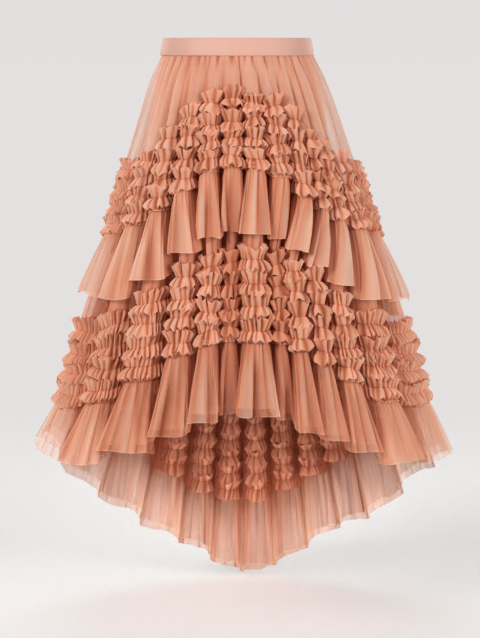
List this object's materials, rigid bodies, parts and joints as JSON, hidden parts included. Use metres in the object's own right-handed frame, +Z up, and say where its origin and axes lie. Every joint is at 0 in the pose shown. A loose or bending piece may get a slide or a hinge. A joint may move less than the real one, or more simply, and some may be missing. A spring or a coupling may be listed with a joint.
{
  "type": "tiered tulle skirt",
  "caption": "Sheer tiered skirt with a plain waistband, shirred ruffle bands above gathered flounces, and a hem that is short in front and long behind.",
  "frame": {"origin": "middle of the waist, half-way up the waistband", "axes": "+Z up through the waist, the front faces -Y, +X on the right of someone looking at the front"},
  "size_m": [0.771, 0.7454, 1.0867],
  "materials": {
    "waistband": "smooth satin over elastic",
    "lining": "plain light lining cloth",
    "tulle": "sheer soft tulle net",
    "ruffle": "gathered tulle ruffles in several layers"
  },
  "bodies": {
    "root": {"waistband": "waistband", "lining": "lining", "upper_panel_front": "tulle", "upper_panel_back": "tulle", "upper_ruffles_front": "ruffle", "upper_ruffles_back": "ruffle", "upper_flounce_front": "tulle", "upper_flounce_back": "tulle", "middle_panel_front": "tulle", "middle_panel_back": "tulle", "lower_ruffles_front": "ruffle", "lower_ruffles_back": "ruffle", "hem_flounce_front": "tulle", "hem_flounce_back": "tulle"}
  },
  "joints": []
}
